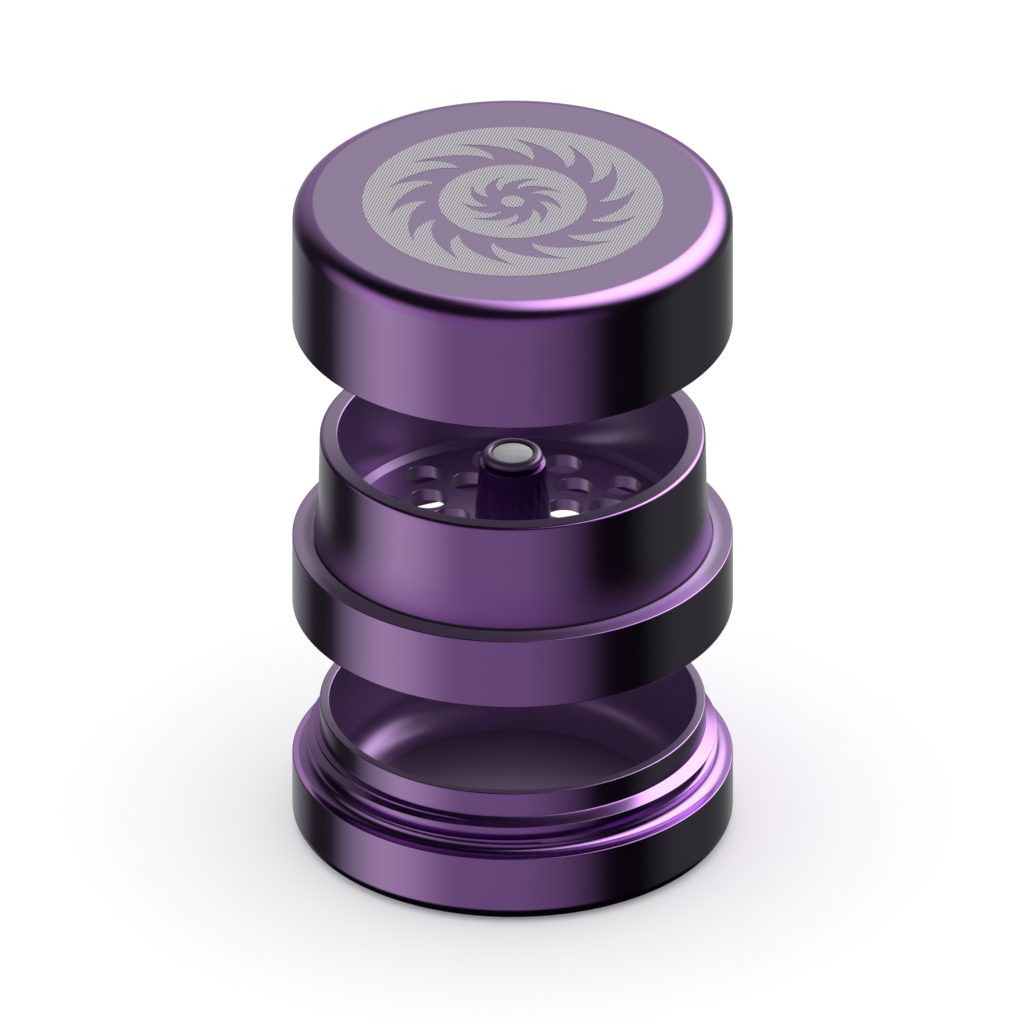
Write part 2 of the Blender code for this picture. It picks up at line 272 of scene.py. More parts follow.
def turned_coordinate(tree, place):
    """(radius, height) of a point, so noise on it makes rings round the axis."""
    parts = tree.add("ShaderNodeSeparateXYZ")
    tree.join(place, parts.inputs[0])
    across = tree.math("POWER", parts.outputs["X"], 2.0)
    along = tree.math("POWER", parts.outputs["Y"], 2.0)
    radius = tree.math("SQRT", tree.math("ADD", across, along))
    joined = tree.add("ShaderNodeCombineXYZ")
    tree.join(radius, joined.inputs["X"])
    tree.join(parts.outputs["Z"], joined.inputs["Z"])
    return joined.outputs[0]


# ---------------------------------------------------------------- materials

# Noise scales, in features per metre
RING_SCALE = 5200.0
GRAIN_SCALE = 9000.0
MOTTLE_SCALE = 110.0

# Hatch of the etched field: direction in degrees and pitch in millimetres
HATCH = ((15.2, 0.40), (-32.0, 0.52))
HATCH_SCALE = 0.31416    # a band texture's scale for bands one unit apart


def anodised(name, colour, dull, roughness, ring_depth, grain_depth, metallic=1.0, matte_foot=None):
    """Anodised aluminium: dye colour with slight mottling, turning rings and fine grain.

    matte_foot gives two heights in millimetres: the finish grows matte from the upper one
    down to the lower one.
    """
    made, tree, shader = new_material(name)
    place = object_place(tree)
    rings = noise(tree, turned_coordinate(tree, place), RING_SCALE, 3.0, 0.65)
    grain = noise(tree, place, GRAIN_SCALE, 2.0, 0.6)
    mottle = noise(tree, place, MOTTLE_SCALE, 4.0, 0.6)
    tree.join(tree.mix(tree.smooth(mottle, 0.35, 0.65, 0.0, 0.22), colour, dull),
              shader.inputs["Base Color"])
    shader.inputs["Metallic"].default_value = metallic
    rough = tree.math("ADD", tree.math("MULTIPLY", rings, 0.07), roughness - 0.05)
    rough = tree.math("ADD", rough, tree.math("MULTIPLY", mottle, 0.05))
    if matte_foot:
        parts = tree.add("ShaderNodeSeparateXYZ")
        tree.join(place, parts.inputs[0])
        low, high = (height * MM for height in matte_foot)
        extra = tree.smooth(parts.outputs["Z"], high, low, 0.0, FOOT_MATTE)
        rough = tree.math("ADD", rough, extra)
    tree.join(rough, shader.inputs["Roughness"])
    height = tree.math("ADD", tree.math("MULTIPLY", rings, ring_depth),
                       tree.math("MULTIPLY", grain, grain_depth))
    bump(tree, shader, height, MM)
    return made


def etched():
    """Laser-etched field: pale bare metal crossed by two sets of fine hatch lines."""
    made, tree, shader = new_material("etched_hatch")
    place = object_place(tree)
    lines = []
    for angle, pitch in HATCH:
        turn = tree.add("ShaderNodeMapping")
        turn.inputs["Rotation"].default_value = (0.0, 0.0, math.radians(angle))
        tree.join(place, turn.inputs["Vector"])
        wave = tree.add("ShaderNodeTexWave", wave_type="BANDS", bands_direction="X")
        wave.inputs["Scale"].default_value = HATCH_SCALE / (pitch * MM)
        tree.join(turn.outputs[0], wave.inputs["Vector"])
        lines.append(wave.outputs["Fac"])
    fainter = tree.math("MULTIPLY", lines[1], 0.55)
    hatch = tree.math("MULTIPLY", tree.math("ADD", lines[0], fainter), 0.65)
    speck = noise(tree, place, RING_SCALE, 2.0, 0.6)
    tone = tree.math("ADD", tree.math("MULTIPLY", hatch, 0.75), tree.math("MULTIPLY", speck, 0.25))
    tree.join(tree.ramp(tone, ((0.15, (0.21, 0.18, 0.23)), (0.8, (0.57, 0.55, 0.585)))),
              shader.inputs["Base Color"])
    shader.inputs["Metallic"].default_value = 1.0
    tree.join(tree.smooth(tone, 0.1, 0.8, 0.62, 0.5), shader.inputs["Roughness"])
    bump(tree, shader, tone, 0.012 * MM)
    return made


def plain_metal(name, colour, roughness, ring_scale, depth, metallic=1.0):
    """Bare or plated metal with faint lathe rings."""
    made, tree, shader = new_material(name)
    place = object_place(tree)
    rings = noise(tree, turned_coordinate(tree, place), ring_scale, 3.0, 0.6)
    smear = noise(tree, place, 420.0, 4.0, 0.6)
    tree.join(tree.mix(tree.smooth(smear, 0.4, 0.7), colour, scaled(colour, 0.86)),
              shader.inputs["Base Color"])
    shader.inputs["Metallic"].default_value = metallic
    tree.join(tree.math("ADD", tree.math("MULTIPLY", smear, 0.12), roughness - 0.06),
              shader.inputs["Roughness"])
    bump(tree, shader, rings, depth * MM)
    return made


def polymer(name, colour, roughness):
    """Moulded ring: near-black, faint mottling and a fine moulded grain."""
    made, tree, shader = new_material(name)
    place = object_place(tree)
    grain = noise(tree, place, 4200.0, 3.0, 0.6)
    tree.join(tree.mix(grain, colour, scaled(colour, 1.8)), shader.inputs["Base Color"])
    tree.join(tree.math("ADD", tree.math("MULTIPLY", grain, 0.15), roughness - 0.07),
              shader.inputs["Roughness"])
    bump(tree, shader, grain, 0.01 * MM)
    return made


def floor_finish():
    """Plain pale floor with a trace of unevenness."""
    made, tree, shader = new_material("studio_floor")
    patch = noise(tree, object_place(tree), 3.0, 2.0, 0.5)
    tree.join(tree.ramp(patch, ((0.3, 0.92), (0.7, 0.94))), shader.inputs["Base Color"])
    shader.inputs["Roughness"].default_value = 0.9
    shader.inputs["Specular IOR Level"].default_value = 0.0
    shader.inputs["Emission Color"].default_value = (1.0, 1.0, 1.0, 1.0)
    shader.inputs["Emission Strength"].default_value = 0.12
    return made


PURPLE = (0.43, 0.215, 0.56, 1.0)
PURPLE_DULL = (0.39, 0.20, 0.50, 1.0)
BLASTED = (0.265, 0.190, 0.315, 1.0)
BLASTED_DULL = (0.245, 0.175, 0.295, 1.0)
INSIDE = (0.42, 0.255, 0.52, 1.0)
INSIDE_DULL = (0.38, 0.235, 0.465, 1.0)
POST_DYE = (0.22, 0.105, 0.31, 1.0)
POST_DULL = (0.20, 0.095, 0.28, 1.0)
FOOT_MATTE = 0.22         # roughness that the cup wall gains towards its foot
MATTE_FROM, MATTE_TO = 19.0, 12.0   # heights in the chamber where that begins and ends

CHAMBER_BOTTOM = span("grinding_chamber")[0]
SATIN = anodised("anodised_satin", PURPLE, PURPLE_DULL, 0.17, 0.0008, 0.0004)
WALL = anodised("anodised_wall", PURPLE, PURPLE_DULL, 0.17, 0.0008, 0.0004, 1.0,
                (CHAMBER_BOTTOM + MATTE_TO, CHAMBER_BOTTOM + MATTE_FROM))
INNER = anodised("anodised_inside", INSIDE, INSIDE_DULL, 0.28, 0.0008, 0.0008, 0.82)
BLAST = anodised("anodised_blasted", BLASTED, BLASTED_DULL, 0.30, 0.0004, 0.0020, 0.80)
POST = anodised("anodised_post", POST_DYE, POST_DULL, 0.20, 0.0008, 0.0008)
ETCH = etched()
NICKEL = plain_metal("nickel_plate", (0.95, 0.95, 0.94, 1.0), 0.46, 3000.0, 0.004, 0.66)
STEEL = plain_metal("screw_steel", (0.52, 0.52, 0.53, 1.0), 0.30, 4200.0, 0.006)
GLIDE = polymer("glide_polymer", (0.012, 0.010, 0.014, 1.0), 0.42)
SILICONE = polymer("seal_silicone", (0.030, 0.028, 0.034, 1.0), 0.60)


# ---------------------------------------------------------------- mesh helpers

PIECES = []


def arc(centre_r, centre_z, radius, start, end, steps):
    """Points of a round stretch of profile, both ends included, angles in degrees."""
    points = []
    for step in range(steps + 1):
        angle = math.radians(start + (end - start) * step / steps)
        points.append((centre_r + radius * math.cos(angle), centre_z + radius * math.sin(angle)))
    return points


def spun(profile, turns, bottom=0.0):
    """A bmesh, in metres, of a closed (radius, height) profile turned once about Z."""
    bm = bmesh.new()
    ring = [bm.verts.new((r * MM, 0.0, (z + bottom) * MM)) for r, z in profile]
    for index, vert in enumerate(ring):
        following = ring[(index + 1) % len(ring)]
        on_axis = vert.co.x < 1e-9 and following.co.x < 1e-9
        if not on_axis:
            bm.edges.new((vert, following))
    bmesh.ops.spin(bm, geom=bm.verts[:] + bm.edges[:], cent=(0, 0, 0), axis=(0, 0, 1),
                   angle=2 * math.pi, steps=turns, use_merge=True)
    bmesh.ops.remove_doubles(bm, verts=bm.verts[:], dist=1e-7)
    bmesh.ops.recalc_face_normals(bm, faces=bm.faces[:])
    return bm


def shade(mesh):
    """Smooth faces, with crisp edges where two faces meet sharply."""
    for polygon in mesh.polygons:
        polygon.use_smooth = True
    mesh.set_sharp_from_angle(angle=SHARP)


def settle_normals(obj):
    """Let the large faces rule the normals, so narrow edge breaks don't bend the shading."""
    weighing = obj.modifiers.new("weighing", "WEIGHTED_NORMAL")
    weighing.keep_sharp = True
    bpy.context.view_layer.update()
    graph = bpy.context.evaluated_depsgraph_get()
    result = bpy.data.meshes.new_from_object(obj.evaluated_get(graph))
    obj.modifiers.remove(weighing)
    result.name = obj.name
    obj.data = result


def piece(name, bm, finishes, body, replaced=None):
    """Put a bmesh in the scene as a visible piece that rides on a body."""
    mesh = bpy.data.meshes.new(name)
    bm.to_mesh(mesh)
    bm.free()
    obj = bpy.data.objects.new(name, mesh)
    bpy.context.scene.collection.objects.link(obj)
    for finish in finishes:
        mesh.materials.append(finish)
    shade(mesh)
    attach(obj, body)
    if replaced:
        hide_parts(replaced)
    PIECES.append(obj)
    return obj


def boolean(obj, tool_bm, operation="DIFFERENCE"):
    """Cut or add a tool body with an exact Boolean, applied at once."""
    mesh = bpy.data.meshes.new("tool")
    tool_bm.to_mesh(mesh)
    tool_bm.free()
    tool = bpy.data.objects.new("tool", mesh)
    bpy.context.scene.collection.objects.link(tool)
    change = obj.modifiers.new("cut", "BOOLEAN")
    change.operation = operation
    change.solver = "EXACT"
    change.object = tool
    bpy.context.view_layer.update()
    graph = bpy.context.evaluated_depsgraph_get()
    result = bpy.data.meshes.new_from_object(obj.evaluated_get(graph))
    obj.modifiers.remove(change)
    finishes = list(obj.data.materials)
    obj.data = result
    result.name = obj.name
    result.materials.clear()
    for finish in finishes:
        result.materials.append(finish)
    bpy.data.objects.remove(tool, do_unlink=True)
    shade(result)


def refinish(obj, slot_index, low_r, high_r, low, high):
    """Give the faces between two radii and two heights another finish."""
    for polygon in obj.data.polygons:
        corners = [obj.data.vertices[index].co for index in polygon.vertices]
        radii = [math.hypot(corner.x, corner.y) / MM for corner in corners]
        heights = [corner.z / MM for corner in corners]
        across = min(radii) > low_r and max(radii) < high_r
        tall = min(heights) > low and max(heights) < high
        if across and tall:
            polygon.material_index = slot_index


def helix_bar(outer_r, inner_r, half_width, start_z, turns, start_angle):
    """A wedge-shaped bar wound as a right-hand helix, thinning out at both ends."""
    bm = bmesh.new()
    steps = int(round(turns * TURNS))
    fade = TURNS // 8
    tip_half_width = half_width * 0.35
    rings = []
    for step in range(steps + 1):
        angle = math.radians(start_angle) + 2 * math.pi * step / TURNS
        height = start_z + PITCH * step / TURNS
        depth = min(1.0, (step + 0.4) / fade, (steps - step + 0.4) / fade)
        tip_r = outer_r + (inner_r - outer_r) * depth
        section = ((outer_r, -half_width), (outer_r, half_width),
                   (tip_r, tip_half_width), (tip_r, -tip_half_width))
        rings.append([bm.verts.new((r * MM * math.cos(angle), r * MM * math.sin(angle),
                                    (height + dz) * MM)) for r, dz in section])
    for low, high in zip(rings, rings[1:]):
        for side in range(4):
            after = (side + 1) % 4
            bm.faces.new((low[side], low[after], high[after], high[side]))
    bm.faces.new(rings[0][::-1])
    bm.faces.new(rings[-1])
    bmesh.ops.recalc_face_normals(bm, faces=bm.faces[:])
    return bm


def copies(profile, turns, places):
    """One bmesh holding a spun profile at each place."""
    bm = bmesh.new()
    for place in places:
        single = spun(profile, turns)
        single.transform(Matrix.Translation(place))
        scratch = bpy.data.meshes.new("copy")
        single.to_mesh(scratch)
        single.free()
        bm.from_mesh(scratch)
        bpy.data.meshes.remove(scratch)
    return bm


def around(radius, count, first, height=0.0):
    """Evenly spaced places on a circle, in metres, first angle in degrees."""
    places = []
    for index in range(count):
        angle = math.radians(first + 360.0 * index / count)
        places.append(Vector((radius * math.cos(angle), radius * math.sin(angle), height)) * MM)
    return places


# ---------------------------------------------------------------- jar

def hollow(centre_r, centre_z, across, tall, steps):
    """Quarter of an ellipse that hollows the corner between a flange and a wall inside it."""
    points = []
    for step in range(steps + 1):
        angle = math.radians(90 - 90 * step / steps)
        points.append((centre_r - across * math.cos(angle), centre_z - tall * math.sin(angle)))
    return points


def make_jar():
    """Jar with a rounded base, a threaded neck and a bowl-shaped inside."""
    bottom, top, outer = span("jar")
    profile = [(0.0, 0.0)]
    profile += arc(outer - JAR_ROUND, JAR_ROUND, JAR_ROUND, -90, 0, 16)
    profile += arc(outer - EDGE, JAR_BASE_H - EDGE, EDGE, 0, 90, 4)
    profile += hollow(HOLLOW_R, THREAD_BOTTOM - 0.2, HOLLOW_ACROSS, HOLLOW_TALL, 12)
    edge = CREST_EDGE_LOW
    profile += arc(CREST_R - edge, THREAD_BOTTOM + edge, edge, -90, 0, 3)
    edge = CREST_EDGE_HIGH
    profile += arc(CREST_R - edge, THREAD_TOP - edge, edge, 0, 65, 4)
    profile += [(NECK_R + 0.1, SHOULDER_TOP - 0.05), (NECK_R, SHOULDER_TOP + 0.05)]
    rim_centre = top - bottom - NECK_RIM
    profile += arc(NECK_R - NECK_RIM, rim_centre, NECK_RIM, 0, 90, 4)
    profile += arc(JAR_BORE_R + NECK_RIM, rim_centre, NECK_RIM, 90, 180, 4)
    profile += arc(JAR_BORE_R - JAR_BOWL_R, JAR_FLOOR + JAR_BOWL_R, JAR_BOWL_R, 0, -90, 20)
    profile += [(0.0, JAR_FLOOR)]
    jar = piece("jar_body", spun(profile, TURNS, bottom), [SATIN, BLAST, INNER], "jar", "jar")
    groove = helix_bar(CREST_R + BEYOND, CREST_R - THREAD_DEPTH, THREAD_HALF,
                       bottom + THREAD_BOTTOM + THREAD_START, THREAD_TURNS, THREAD_FIRST)
    boolean(jar, groove)
    flat_r = JAR_BORE_R - JAR_BOWL_R
    refinish(jar, INNER_SLOT, -1.0, JAR_BORE_R + 0.1, bottom + 1.0, top - 0.1)
    refinish(jar, BLAST_SLOT, -1.0, flat_r + 0.1, bottom + 1.0, bottom + JAR_FLOOR + 0.1)
    refinish(jar, BLAST_SLOT, JAR_BORE_R, NECK_R, top - 0.02, top + 0.1)


# ---------------------------------------------------------------- chamber

def chamber_profile(outer, cup_top):
    """Section of the whole chamber: collar, flange, groove, cup wall and floor."""
    profile = [(SCREW_HOLE_R, PLATE_UNDER), (COLLAR_BORE_R, PLATE_UNDER),
               (COLLAR_BORE_R, MOUTH_BREAK), (COLLAR_BORE_R + MOUTH_BREAK, 0.0)]
    profile += arc(outer - COLLAR_EDGE, COLLAR_EDGE, COLLAR_EDGE, -90, 0, 4)
    profile += arc(outer - EDGE, COLLAR_H - EDGE, EDGE, 0, 90, 4)
    tilt = math.degrees(math.asin(DISH_W / DISH_R))
    dish = arc(GROOVE_OUT + DISH_W, COLLAR_H + DISH_R, DISH_R, 270, 270 - tilt, 10)
    profile += dish[:-1]
    profile += arc(GROOVE_OUT + LIP, dish[-1][1] - LIP - 0.02, LIP, 75, 180, 5)
    profile += [(GROOVE_OUT, GROOVE_LOW), (GROOVE_IN, GROOVE_LOW), (GROOVE_IN, GROOVE_HIGH)]
    profile += arc(FOOT_R - FOOT_EDGE, GROOVE_HIGH + FOOT_EDGE, FOOT_EDGE, -90, 0, 4)
    profile += arc(FLARE_TOP_R + FLARE_R, FLARE_TOP, FLARE_R, 190.0, 180, 10)[1:]
    profile += arc(CUP_OUTER_R - RIM_OUTER, cup_top - RIM_OUTER, RIM_OUTER, 0, 90, 6)
    profile += arc(CUP_INNER_R + RIM_INNER, cup_top - RIM_INNER, RIM_INNER, 90, 180, 4)
    profile += [(CUP_INNER_R, CONE_TOP + 0.08), (CUP_INNER_R - 0.06, CONE_TOP - 0.06)]
    profile += arc(FLOOR_R, FLOOR + FLOOR_FILLET, FLOOR_FILLET, -FLOOR_CONE, -90, 6)
    profile += [(SCREW_HOLE_R, FLOOR)]
    return profile


def hole_cutter():
    """Profile of one floor hole, its two rims lightly broken."""
    low, high, beyond = PLATE_UNDER, FLOOR, 0.5
    flared_r = HOLE_R + HOLE_RIM + beyond
    return [(0.0, low - beyond), (flared_r, low - beyond), (HOLE_R, low + HOLE_RIM),
            (HOLE_R, high - HOLE_RIM), (flared_r, high + beyond), (0.0, high + beyond)]


def make_chamber():
    """Cup, perforated floor and threaded collar in one turned piece."""
    bottom, top, outer = span("grinding_chamber")
    chamber = piece("chamber_body", spun(chamber_profile(outer, top - bottom), TURNS, bottom),
                    [SATIN, BLAST, INNER, WALL], "chamber", "grinding_chamber")
    places = []
    for radius, count, first in HOLE_RINGS:
        places += around(radius, count, first, bottom)
    boolean(chamber, copies(hole_cutter(), 40, places))
    thread = helix_bar(COLLAR_BORE_R - BEYOND, COLLAR_BORE_R + NUT_DEPTH, NUT_HALF,
                       bottom + NUT_START, NUT_TURNS, NUT_FIRST)
    boolean(chamber, thread)
    plate, flange = bottom + PLATE_UNDER, bottom + COLLAR_H
    refinish(chamber, INNER_SLOT, -1.0, CUP_INNER_R + 0.1, plate - 0.1, top - 0.1)
    refinish(chamber, INNER_SLOT, -1.0, COLLAR_BORE_R + 0.8, bottom + 0.3, plate + 0.1)
    refinish(chamber, BLAST_SLOT, CUP_INNER_R, CUP_OUTER_R, top - 0.02, top + 0.1)
    refinish(chamber, WALL_SLOT, CUP_OUTER_R - 0.1, GROOVE_OUT,
             bottom + GROOVE_HIGH - 0.01, top - RIM_OUTER + 0.01)
    refinish(chamber, BLAST_SLOT, GROOVE_OUT - 0.02, outer - EDGE + 0.02,
             flange - 0.02, flange + 0.3)


def make_post():
    """Tapered post with a blasted round lip and a magnet pocket."""
    bottom, top, base_r = span("centre_post")
    height = top - bottom
    pocket = height - POST_POCKET
    profile = [(0.0, POST_TAP_H), (POST_TAP_R, POST_TAP_H), (POST_TAP_R, 0.0)]
    edge = POST_FOOT_EDGE
    profile += arc(base_r - edge, edge, edge, -90, 0, 3)
    edge = POST_SHOULDER_EDGE
    profile += arc(POST_SHOULDER_R - edge, POST_SHOULDER - edge, edge, 5, 90, 5)
    inside = math.degrees(math.acos((POCKET_R - BEAD_CENTRE_R) / BEAD_R))
    profile += arc(BEAD_CENTRE_R, height - BEAD_R, BEAD_R, -60, inside, 24)
    profile += [(POCKET_R, pocket), (0.0, pocket)]
    post = piece("post_body", spun(profile, SMALL_TURNS, bottom), [POST, BLAST],
                 "chamber", "centre_post")
    refinish(post, BLAST_SLOT, POCKET_R - 0.1, 5.0, top - BEAD_R - 0.1, top + 0.1)


def make_disc(name, node, body):
    """A plated disc magnet."""
    bottom, top, radius = span(node)
    thickness = top - bottom
    profile = [(0.0, 0.0)]
    profile += arc(radius - DISC_EDGE, DISC_EDGE, DISC_EDGE, -90, 0, 4)
    profile += arc(radius - DISC_EDGE, thickness - DISC_EDGE, DISC_EDGE, 0, 90, 4)
    profile += [(0.0, thickness)]
    piece(name, spun(profile, SMALL_TURNS, bottom), [NICKEL], body, node)


def make_ring(name, node, body, inner_r, edge, finish):
    """A flat ring with rounded outer edges."""
    bottom, top, outer = span(node)
    height = top - bottom
    profile = [(inner_r, 0.0)]
    profile += arc(outer - edge, edge, edge, -90, 0, 4)
    profile += arc(outer - edge, height - edge, edge, 0, 90, 4)
    profile += [(inner_r, height)]
    piece(name, spun(profile, TURNS, bottom), [finish], body, node)


def hex_recess(corner_r, depth, place):
    """Cutter for a hexagon socket as deep as depth below place."""
    bm = bmesh.new()
    bmesh.ops.create_cone(bm, cap_ends=True, segments=6, radius1=corner_r * MM,
                          radius2=corner_r * MM, depth=2 * depth * MM,
                          matrix=Matrix.Translation(place))
    return bm


def make_post_screw():
    """Button-head screw that holds the post from under the floor."""
    bottom, top, head_r = span("post_screw")
    length = top - bottom
    head, shank_r, dome = POST_SCREW_HEAD_H, POST_SCREW_SHANK_R, POST_SCREW_DOME
    profile = [(0.0, 0.0), (2 * dome, 0.0)]
    profile += arc(head_r - dome, dome, dome, -75, 0, 8)
    profile += [(head_r, head), (shank_r, head), (shank_r, length - POST_SCREW_TIP),
                (shank_r - POST_SCREW_TIP, length), (0.0, length)]
    screw = piece("post_screw_body", spun(profile, SMALL_TURNS, bottom), [STEEL],
                  "chamber", "post_screw")
    boolean(screw, hex_recess(POST_SCREW_HEX_R, 1.0, (0, 0, bottom * MM)))


# ---------------------------------------------------------------- lid

def make_lid():
    """Round lid with a blasted flat top, its skirt hollow and its ceiling tapped."""
    bottom, top, outer = span("lid_shell")
    height = top - bottom
    profile = [(0.0, CEILING), (0.0, height)]
    profile += arc(outer - LID_ROUND, height - LID_ROUND, LID_ROUND, 90, 0, 24)
    profile += arc(outer - LID_EDGE, LID_EDGE, LID_EDGE, 0, -90, 4)
    profile += [(SKIRT_BORE_R + MOUTH_BREAK, 0.0), (SKIRT_BORE_R, MOUTH_BREAK)]
    profile += arc(SKIRT_BORE_R - CEILING_FILLET, CEILING - CEILING_FILLET, CEILING_FILLET, 0, 90, 6)
    lid = piece("lid_body", spun(profile, TURNS, bottom), [SATIN, BLAST, INNER], "lid", "lid_shell")
    low, high = CEILING - 0.5, CEILING + LID_TAP_DEPTH
    taps = [(0.0, low), (LID_TAP_R, low), (LID_TAP_R, high), (0.0, high)]
    boolean(lid, copies(taps, 24, around(ROTOR_SCREW_R, VANES, 0, bottom)))
    refinish(lid, BLAST_SLOT, -1.0, outer - LID_ROUND + 0.3, top - 0.02, top + 0.02)
    refinish(lid, INNER_SLOT, -1.0, SKIRT_BORE_R + 0.1, bottom + 0.3, bottom + CEILING + 0.1)


def vane_bars(low, top, radius):
    """Radial blades, wide at the root and narrow at the cutting edge."""
    bm = bmesh.new()
    plan = ((VANE_INNER_R, -1), (radius, -1), (radius, 1), (VANE_INNER_R, 1))
    for index in range(VANES):
        turn = Matrix.Rotation(2 * math.pi * (index + 0.5) / VANES, 3, "Z")
        corners = []
        for z, width in ((low, VANE_EDGE_W), (top, VANE_ROOT_W)):
            for r, side in plan:
                corners.append(bm.verts.new(turn @ Vector((r, side * width / 2, z)) * MM))
        bm.faces.new(corners[3::-1])
        bm.faces.new(corners[4:])
        for side in range(4):
            after = (side + 1) % 4
            bm.faces.new((corners[side], corners[after], corners[4 + after], corners[4 + side]))
    bmesh.ops.recalc_face_normals(bm, faces=bm.faces[:])
    bmesh.ops.bevel(bm, geom=bm.edges[:], offset=VANE_BREAK * MM, segments=2,
                    affect="EDGES", profile=0.5)
    return bm


def make_rotor():
    """Disc with radial blades under it, a magnet pocket and four countersunk holes."""
    bottom, top, outer = span("lid_rotor")
    under = top - ROTOR_DISC
    pocket = under + ROTOR_POCKET
    profile = [(0.0, pocket), (0.0, top), (outer - ROTOR_EDGE, top), (outer, top - ROTOR_EDGE)]
    profile += arc(outer - ROTOR_EDGE, under + ROTOR_EDGE, ROTOR_EDGE, 0, -90, 4)
    profile += [(POCKET_R, under), (POCKET_R, pocket)]
    rotor = piece("rotor_body", spun(profile, TURNS), [SATIN], "lid", "lid_rotor")
    boolean(rotor, vane_bars(bottom, under + VANE_ROOT, outer - 0.4), "UNION")
    sink = [(0.0, 0.0), (2.35, 0.0), (2.35, 0.2), (1.45, 1.25), (1.45, 3.8), (0.0, 3.8)]
    boolean(rotor, copies(sink, 40, around(ROTOR_SCREW_R, VANES, 0, under - 0.01)))


def make_rotor_screws():
    """Countersunk screws with hexagon sockets."""
    head_r, shank_r = ROTOR_SCREW_HEAD_R, ROTOR_SCREW_SHANK_R
    for number, place in enumerate(around(ROTOR_SCREW_R, VANES, 0), start=1):
        bottom, top, _ = span(f"rotor_screw_{number}")
        length = top - bottom
        profile = [(0.0, 0.0), (head_r - 0.1, 0.0), (head_r, 0.1), (head_r, 0.2),
                   (shank_r, 1.15), (shank_r, length), (0.0, length)]
        bm = spun(profile, SCREW_TURNS)
        bm.transform(Matrix.Translation(place + Vector((0, 0, bottom * MM))))
        screw = piece(f"rotor_screw_body_{number}", bm, [STEEL], "lid", f"rotor_screw_{number}")
        boolean(screw, hex_recess(ROTOR_SCREW_HEX_R, 0.8, place + Vector((0, 0, bottom * MM))))


# ---------------------------------------------------------------- ornament

# Three etched fields, from the outside in. A ring of teeth is its root and tip radius,
# count and sweep in degrees.
ORNAMENT_R = 21.5
OUTER_TEETH = (12.2, 18.2, 14, 26.0)
INNER_FIELD_R = 10.6
INNER_TEETH = (3.4, 7.4, 9, -40.0)
HUB_R = 1.7
FILM = 0.03             # how far the etched field stands proud, in millimetres
FILM_GAP = 0.002        # hairline between the lid and the etched field
FLANK_STEPS = 10        # points along each flank of a tooth


def swirl(low_r, high_r, count, sweep):
    """Outline of saw teeth between two circles, each flank swept round like a fan's blade."""
    points = []
    for index in range(count):
        for rising, lean in ((True, 0.0), (False, 0.5)):
            for step in range(FLANK_STEPS):
                part = step / FLANK_STEPS
                depth = part if rising else 1 - part
                radius = low_r + (high_r - low_r) * depth
                turn = (index + lean + part * 0.5) / count * 2 * math.pi
                turn += math.radians(sweep) * depth ** 1.5
                points.append((radius * math.cos(turn), radius * math.sin(turn)))
    return points


def circle(radius, count):
    """A circle of count points: teeth with no height, two flanks each."""
    return swirl(radius, radius, count // (2 * FLANK_STEPS), 0.0)


def film(name, outer, inner, top):
    """A thin closed plate between two outlines, or a full plate with no inner one."""
    outlines = [outer] if inner is None else [outer, inner]
    bm = bmesh.new()
    edges = []
    for outline in outlines:
        ring = [bm.verts.new((x * MM, y * MM, top * MM)) for x, y in outline]
        for index, vert in enumerate(ring):
            edges.append(bm.edges.new((vert, ring[(index + 1) % len(ring)])))
    bmesh.ops.triangle_fill(bm, edges=edges, use_beauty=True, use_dissolve=False)
    bmesh.ops.recalc_face_normals(bm, faces=bm.faces[:])
    lifted = bmesh.ops.extrude_face_region(bm, geom=bm.faces[:])
    moved = [item for item in lifted["geom"] if isinstance(item, bmesh.types.BMVert)]
    bmesh.ops.translate(bm, verts=moved, vec=(0, 0, FILM * MM))
    bmesh.ops.recalc_face_normals(bm, faces=bm.faces[:])
    piece(name, bm, [ETCH], "lid")


def make_ornament():
    """A plain pinwheel: two etched rings whose inner edges are swept saw teeth."""
    top = span("lid_shell")[1] + FILM_GAP
    film("ornament_outer", circle(ORNAMENT_R, 240), swirl(*OUTER_TEETH), top)
    film("ornament_inner", circle(INNER_FIELD_R, 160), swirl(*INNER_TEETH), top)
    film("ornament_centre", circle(HUB_R, 48), None, top)


# ---------------------------------------------------------------- studio

# Lengths in metres, angles in degrees
VIEW_ELEVATION = 29.7
FRAME_WIDTH = 0.14635     # width that the square picture covers
CAMERA_AWAY = 0.6
AIM_SHIFT = Vector((-0.00009, 0.0, -0.0007))   # from the object's centre to the picture's
FLOOR_HALF = 3.0
FLOOR_DROP = 0.0002       # keeps the floor clear of the jar's underside

# The studio's walls round the object: azimuth in degrees, nought at the camera's side and
# growing to the right, with the radiance there
SIDE_BANDS = (
    (-180, (0.50, 0.58, 0.47)), (-152, (0.26, 0.33, 0.25)), (-130, (0.02, 0.03, 0.02)),
    (-110, (0.015, 0.025, 0.015)), (-90, (0.44, 0.56, 0.42)), (-73, (0.76, 0.90, 0.70)),
    (-58, (0.66, 0.76, 0.62)), (-33, (0.32, 0.30, 0.34)), (6, (0.31, 0.29, 0.33)),
    (24, (0.22, 0.20, 0.24)), (51, (0.008, 0.008, 0.008)), (72, (0.004, 0.006, 0.004)),
    (94, (0.06, 0.11, 0.055)), (128, (0.06, 0.10, 0.055)), (146, (0.10, 0.15, 0.09)),
    (180, (0.46, 0.54, 0.43)))
WHITE = (1.0, 1.0, 1.0, 1.0)
BLACK = (0.0, 0.0, 0.0, 1.0)
OVERHEAD = (0.012, 0.012, 0.014, 1.0)
UNDERFOOT = (0.003, 0.003, 0.004, 1.0)
LEVEL_TINT = (1.02, 0.80, 1.08, 1.0)
VEIL_TINT = (0.88, 1.0, 0.84, 1.0)
